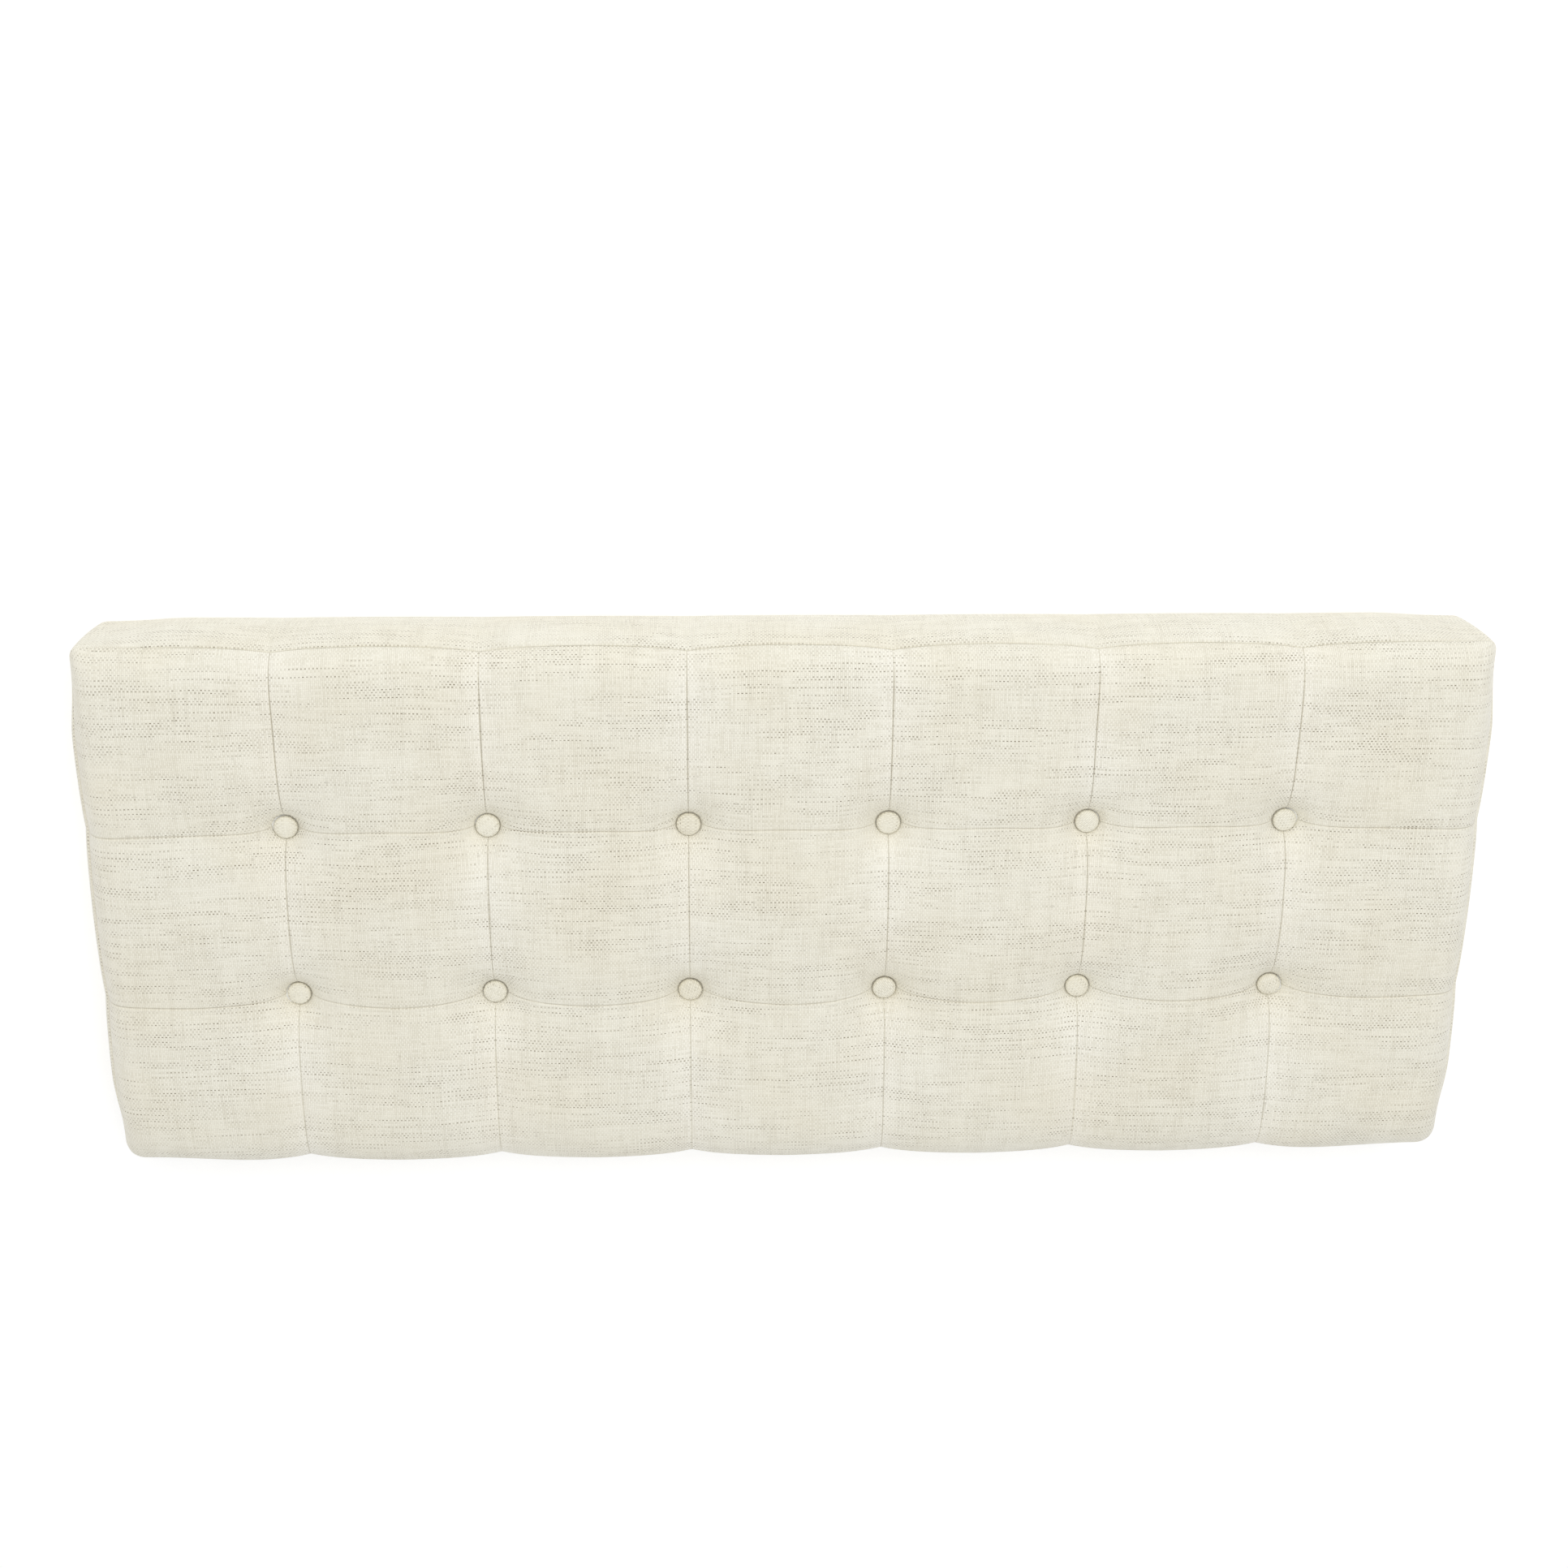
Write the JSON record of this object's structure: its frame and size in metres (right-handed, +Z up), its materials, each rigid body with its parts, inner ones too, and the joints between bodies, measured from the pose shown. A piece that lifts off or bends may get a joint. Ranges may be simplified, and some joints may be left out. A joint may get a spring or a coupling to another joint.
{
  "type": "bench seat pad",
  "caption": "Long box-edged seat pad for a bench or settee, button tufted into a grid of biscuits, in an oatmeal linen-look weave, with a zipped rear boxing.",
  "frame": {"origin": "middle of the underside, on the surface that the pad lies on", "axes": "+X along the seat, -Y towards the sitter's knees (the front boxing), +Y towards the zip at the back, +Z up through the tufted face"},
  "size_m": [1.22, 0.4938, 0.114],
  "materials": {
    "cover_fabric": "matt plain weave with broken taupe slubs, linen look",
    "button_fabric": "the cover's weave, drawn tight over a domed cap",
    "wadding": "white polyester wadding",
    "foam": "open-cell polyurethane foam",
    "zip_tape": "woven polyester tape",
    "zip_coil": "nylon coil",
    "zip_metal": "nickel-plated zinc",
    "button_metal": "tinned steel",
    "twine": "waxed polyester tufting twine",
    "anchor_plastic": "plain moulded button"
  },
  "bodies": {
    "pad": {"top_panel": "cover_fabric", "boxing_strip": "cover_fabric", "rear_boxing_upper": "cover_fabric", "rear_boxing_lower": "cover_fabric", "bottom_panel": "cover_fabric", "wadding_top": "wadding", "wadding_base": "wadding", "foam_core": "foam", "zip_tape_upper": "zip_tape", "zip_tape_lower": "zip_tape", "zip_coil_upper": "zip_coil", "zip_coil_lower": "zip_coil", "zip_end_stop": "zip_metal", "zip_top_stops": "zip_metal", "button_back_plates": "button_metal", "button_wire_eyes": "button_metal", "tuft_button_r1c1": "button_fabric", "tuft_button_r1c2": "button_fabric", "tuft_button_r1c3": "button_fabric", "tuft_button_r1c4": "button_fabric", "tuft_button_r1c5": "button_fabric", "tuft_button_r1c6": "button_fabric", "tuft_button_r2c1": "button_fabric", "tuft_button_r2c2": "button_fabric", "tuft_button_r2c3": "button_fabric", "tuft_button_r2c4": "button_fabric", "tuft_button_r2c5": "button_fabric", "tuft_button_r2c6": "button_fabric", "tuft_twine_r1c1": "twine", "tuft_twine_r1c2": "twine", "tuft_twine_r1c3": "twine", "tuft_twine_r1c4": "twine", "tuft_twine_r1c5": "twine", "tuft_twine_r1c6": "twine", "tuft_twine_r2c1": "twine", "tuft_twine_r2c2": "twine", "tuft_twine_r2c3": "twine", "tuft_twine_r2c4": "twine", "tuft_twine_r2c5": "twine", "tuft_twine_r2c6": "twine", "anchor_button_r1c1": "anchor_plastic", "anchor_button_r1c2": "anchor_plastic", "anchor_button_r1c3": "anchor_plastic", "anchor_button_r1c4": "anchor_plastic", "anchor_button_r1c5": "anchor_plastic", "anchor_button_r1c6": "anchor_plastic", "anchor_button_r2c1": "anchor_plastic", "anchor_button_r2c2": "anchor_plastic", "anchor_button_r2c3": "anchor_plastic", "anchor_button_r2c4": "anchor_plastic", "anchor_button_r2c5": "anchor_plastic", "anchor_button_r2c6": "anchor_plastic"},
    "slider": {"zip_slider": "zip_metal"},
    "pull": {"zip_pull": "zip_metal"}
  },
  "joints": [
    {"name": "zip_slide", "type": "slide", "parent": "pad", "child": "slider", "axis": [-1, 0, 0], "range_m": [0, 1.076]},
    {"name": "pull_swing", "type": "hinge", "parent": "slider", "child": "pull", "pos_m": [0.538, 0.2464, 0.045], "axis": [0, 0, -1], "range_deg": [0, 180]}
  ]
}
